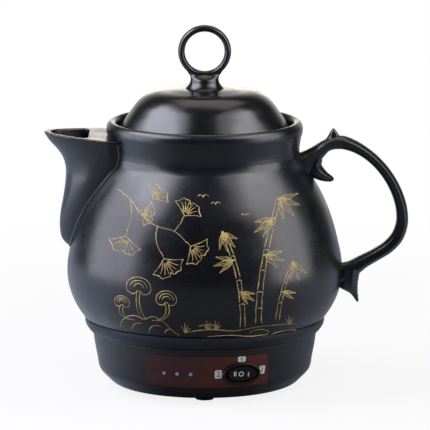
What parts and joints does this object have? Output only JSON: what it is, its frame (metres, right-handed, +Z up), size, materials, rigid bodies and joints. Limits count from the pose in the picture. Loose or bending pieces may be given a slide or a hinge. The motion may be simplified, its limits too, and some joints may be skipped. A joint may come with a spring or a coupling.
{
  "type": "electric herbal medicine pot",
  "caption": "Electric decoction pot: glazed ceramic vessel with lift-off ring-knob lid, scoop spout and ear handle, fixed on a plastic heating base with lamps and a rocker switch.",
  "frame": {"origin": "on the plane the feet stand on, under the middle of the whole object", "axes": "+Z up along the pot's axis; the spout points to -X, the handle to +X and the control panel to -Y"},
  "size_m": [0.2552, 0.1926, 0.2557],
  "materials": {
    "stoneware": "satin dark blue-black glaze with soft highlights",
    "lid_glaze": "glossy dark blue-black glaze",
    "base_plastic": "matt black",
    "panel_plastic": "dark red-brown, semi-gloss",
    "switch_plastic": "black",
    "lamp_lens": "translucent lavender",
    "lamp_body": "translucent",
    "board": "green laminate",
    "foot_rubber": "matt dark grey",
    "seal_silicone": "matt, pale",
    "heater_plate": "cast and turned",
    "element_sheath": "dull grey sheath",
    "plated_steel": "zinc plated",
    "contact_brass": "bright",
    "inlet_plastic": "black",
    "fuse_sleeve": "white glass-fibre sleeve",
    "wire_brown": "matt insulation",
    "wire_blue": "matt insulation",
    "wire_green_yellow": "matt insulation",
    "wire_red": "matt insulation",
    "wire_white": "matt insulation"
  },
  "bodies": {
    "base": {"pot_body": "stoneware", "spout": "stoneware", "handle": "stoneware", "collar_ring": "base_plastic", "seat_seal": "seal_silicone", "base_shell": "base_plastic", "control_panel": "panel_plastic", "bottom_cover": "base_plastic", "rubber_feet": "foot_rubber", "cover_screws": "plated_steel", "collar_screws": "plated_steel", "heat_plate": "heater_plate", "heating_element": "element_sheath", "clamp_bar": "plated_steel", "clamp_screws": "plated_steel", "heat_shield": "plated_steel", "shield_spacers": "plated_steel", "shield_screws": "plated_steel", "thermostat": "plated_steel", "thermostat_screws": "plated_steel", "thermal_fuse": "fuse_sleeve", "fuse_clip": "plated_steel", "fuse_screw": "plated_steel", "switch_body": "switch_plastic", "switch_terminals": "contact_brass", "indicator_lenses": "lamp_lens", "indicator_leds": "lamp_body", "led_board": "board", "board_screws": "plated_steel", "inlet_housing": "inlet_plastic", "inlet_pins": "contact_brass", "inlet_screws": "plated_steel", "inlet_nuts": "plated_steel", "earth_lug": "contact_brass", "power_diode": "base_plastic", "wire_live": "wire_brown", "wire_neutral": "wire_blue", "wire_earth": "wire_green_yellow", "wire_high": "wire_red", "wire_low": "wire_white", "wire_return": "wire_blue", "wire_fuse": "wire_blue", "indicator_wires": "wire_white"},
    "lid": {"lid": "lid_glaze", "lid_knob": "lid_glaze"},
    "rocker": {"switch_rocker": "switch_plastic"}
  },
  "joints": [
    {"name": "lid_lift", "type": "slide", "parent": "base", "child": "lid", "axis": [0, 0, 1], "range_m": [0, 0.09]},
    {"name": "power_rocker", "type": "hinge", "parent": "base", "child": "rocker", "pos_m": [0.00952, -0.06816, 0.02426], "axis": [0.0633, -0.1788, 0.9818], "range_deg": [-10, 10]}
  ]
}
